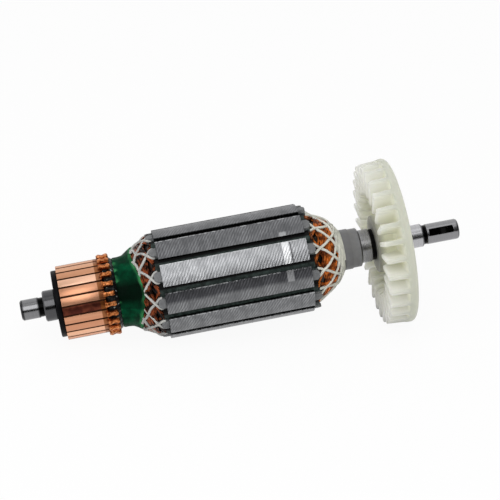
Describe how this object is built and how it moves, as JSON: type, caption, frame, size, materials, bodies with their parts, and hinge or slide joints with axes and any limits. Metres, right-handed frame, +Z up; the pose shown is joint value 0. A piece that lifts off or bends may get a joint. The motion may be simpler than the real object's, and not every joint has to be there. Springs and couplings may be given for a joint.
{
  "type": "universal motor armature",
  "caption": "Wound rotor of a small hand grinder's motor: copper commutator, slotted laminated core, laced winding and radial cooling fan on a stepped, keyed steel shaft.",
  "frame": {"origin": "on the ground below the middle of the part's bounding box", "axes": "+X from the commutator end to the pinion end along the ground, +Z up; the shaft's axis lies in the XZ plane and climbs 6.97 degrees towards +X, as the loose rotor lies on its core's front edge and the fan"},
  "size_m": [0.1522, 0.0572, 0.0569],
  "materials": {
    "ground_steel": "fine ground",
    "dark_steel": "blackened, fine turned",
    "bright_steel": "bright turned",
    "black_moulding": "matt moulded",
    "copper": "turned, satin",
    "mica": "matt, undercut",
    "enamelled_wire": "clear enamel, glossy",
    "green_resin": "brushed on, glossy",
    "core_steel": "ground, satin",
    "grey_insulation": "matt",
    "grey_board": "matt pressed board",
    "slot_paper": "matt",
    "slot_wedge": "matt",
    "waxed_twine": "waxed, braided",
    "grey_sleeve": "matt",
    "black_ring": "matt",
    "ivory_nylon": "satin moulded"
  },
  "bodies": {
    "root": {"shaft": "ground_steel", "commutator_bush": "dark_steel", "commutator_hub": "black_moulding", "commutator_bar_01": "copper", "commutator_bar_02": "copper", "commutator_bar_03": "copper", "commutator_bar_04": "copper", "commutator_bar_05": "copper", "commutator_bar_06": "copper", "commutator_bar_07": "copper", "commutator_bar_08": "copper", "commutator_bar_09": "copper", "commutator_bar_10": "copper", "commutator_bar_11": "copper", "commutator_bar_12": "copper", "commutator_bar_13": "copper", "commutator_bar_14": "copper", "commutator_bar_15": "copper", "commutator_bar_16": "copper", "commutator_bar_17": "copper", "commutator_bar_18": "copper", "commutator_bar_19": "copper", "commutator_bar_20": "copper", "commutator_bar_21": "copper", "commutator_bar_22": "copper", "commutator_bar_23": "copper", "commutator_bar_24": "copper", "commutator_mica": "mica", "lead_wires": "enamelled_wire", "resin_band": "green_resin", "lamination_stack": "core_steel", "shaft_insulation": "grey_insulation", "end_insulator_commutator_side": "grey_board", "end_insulator_fan_side": "grey_board", "slot_liners": "slot_paper", "slot_wedges": "slot_wedge", "armature_winding": "enamelled_wire", "lacing_commutator_end": "waxed_twine", "lacing_fan_end": "waxed_twine", "insulating_sleeve": "grey_sleeve", "fan_bush": "bright_steel", "fan_washer": "black_ring", "fan": "ivory_nylon"}
  },
  "joints": []
}
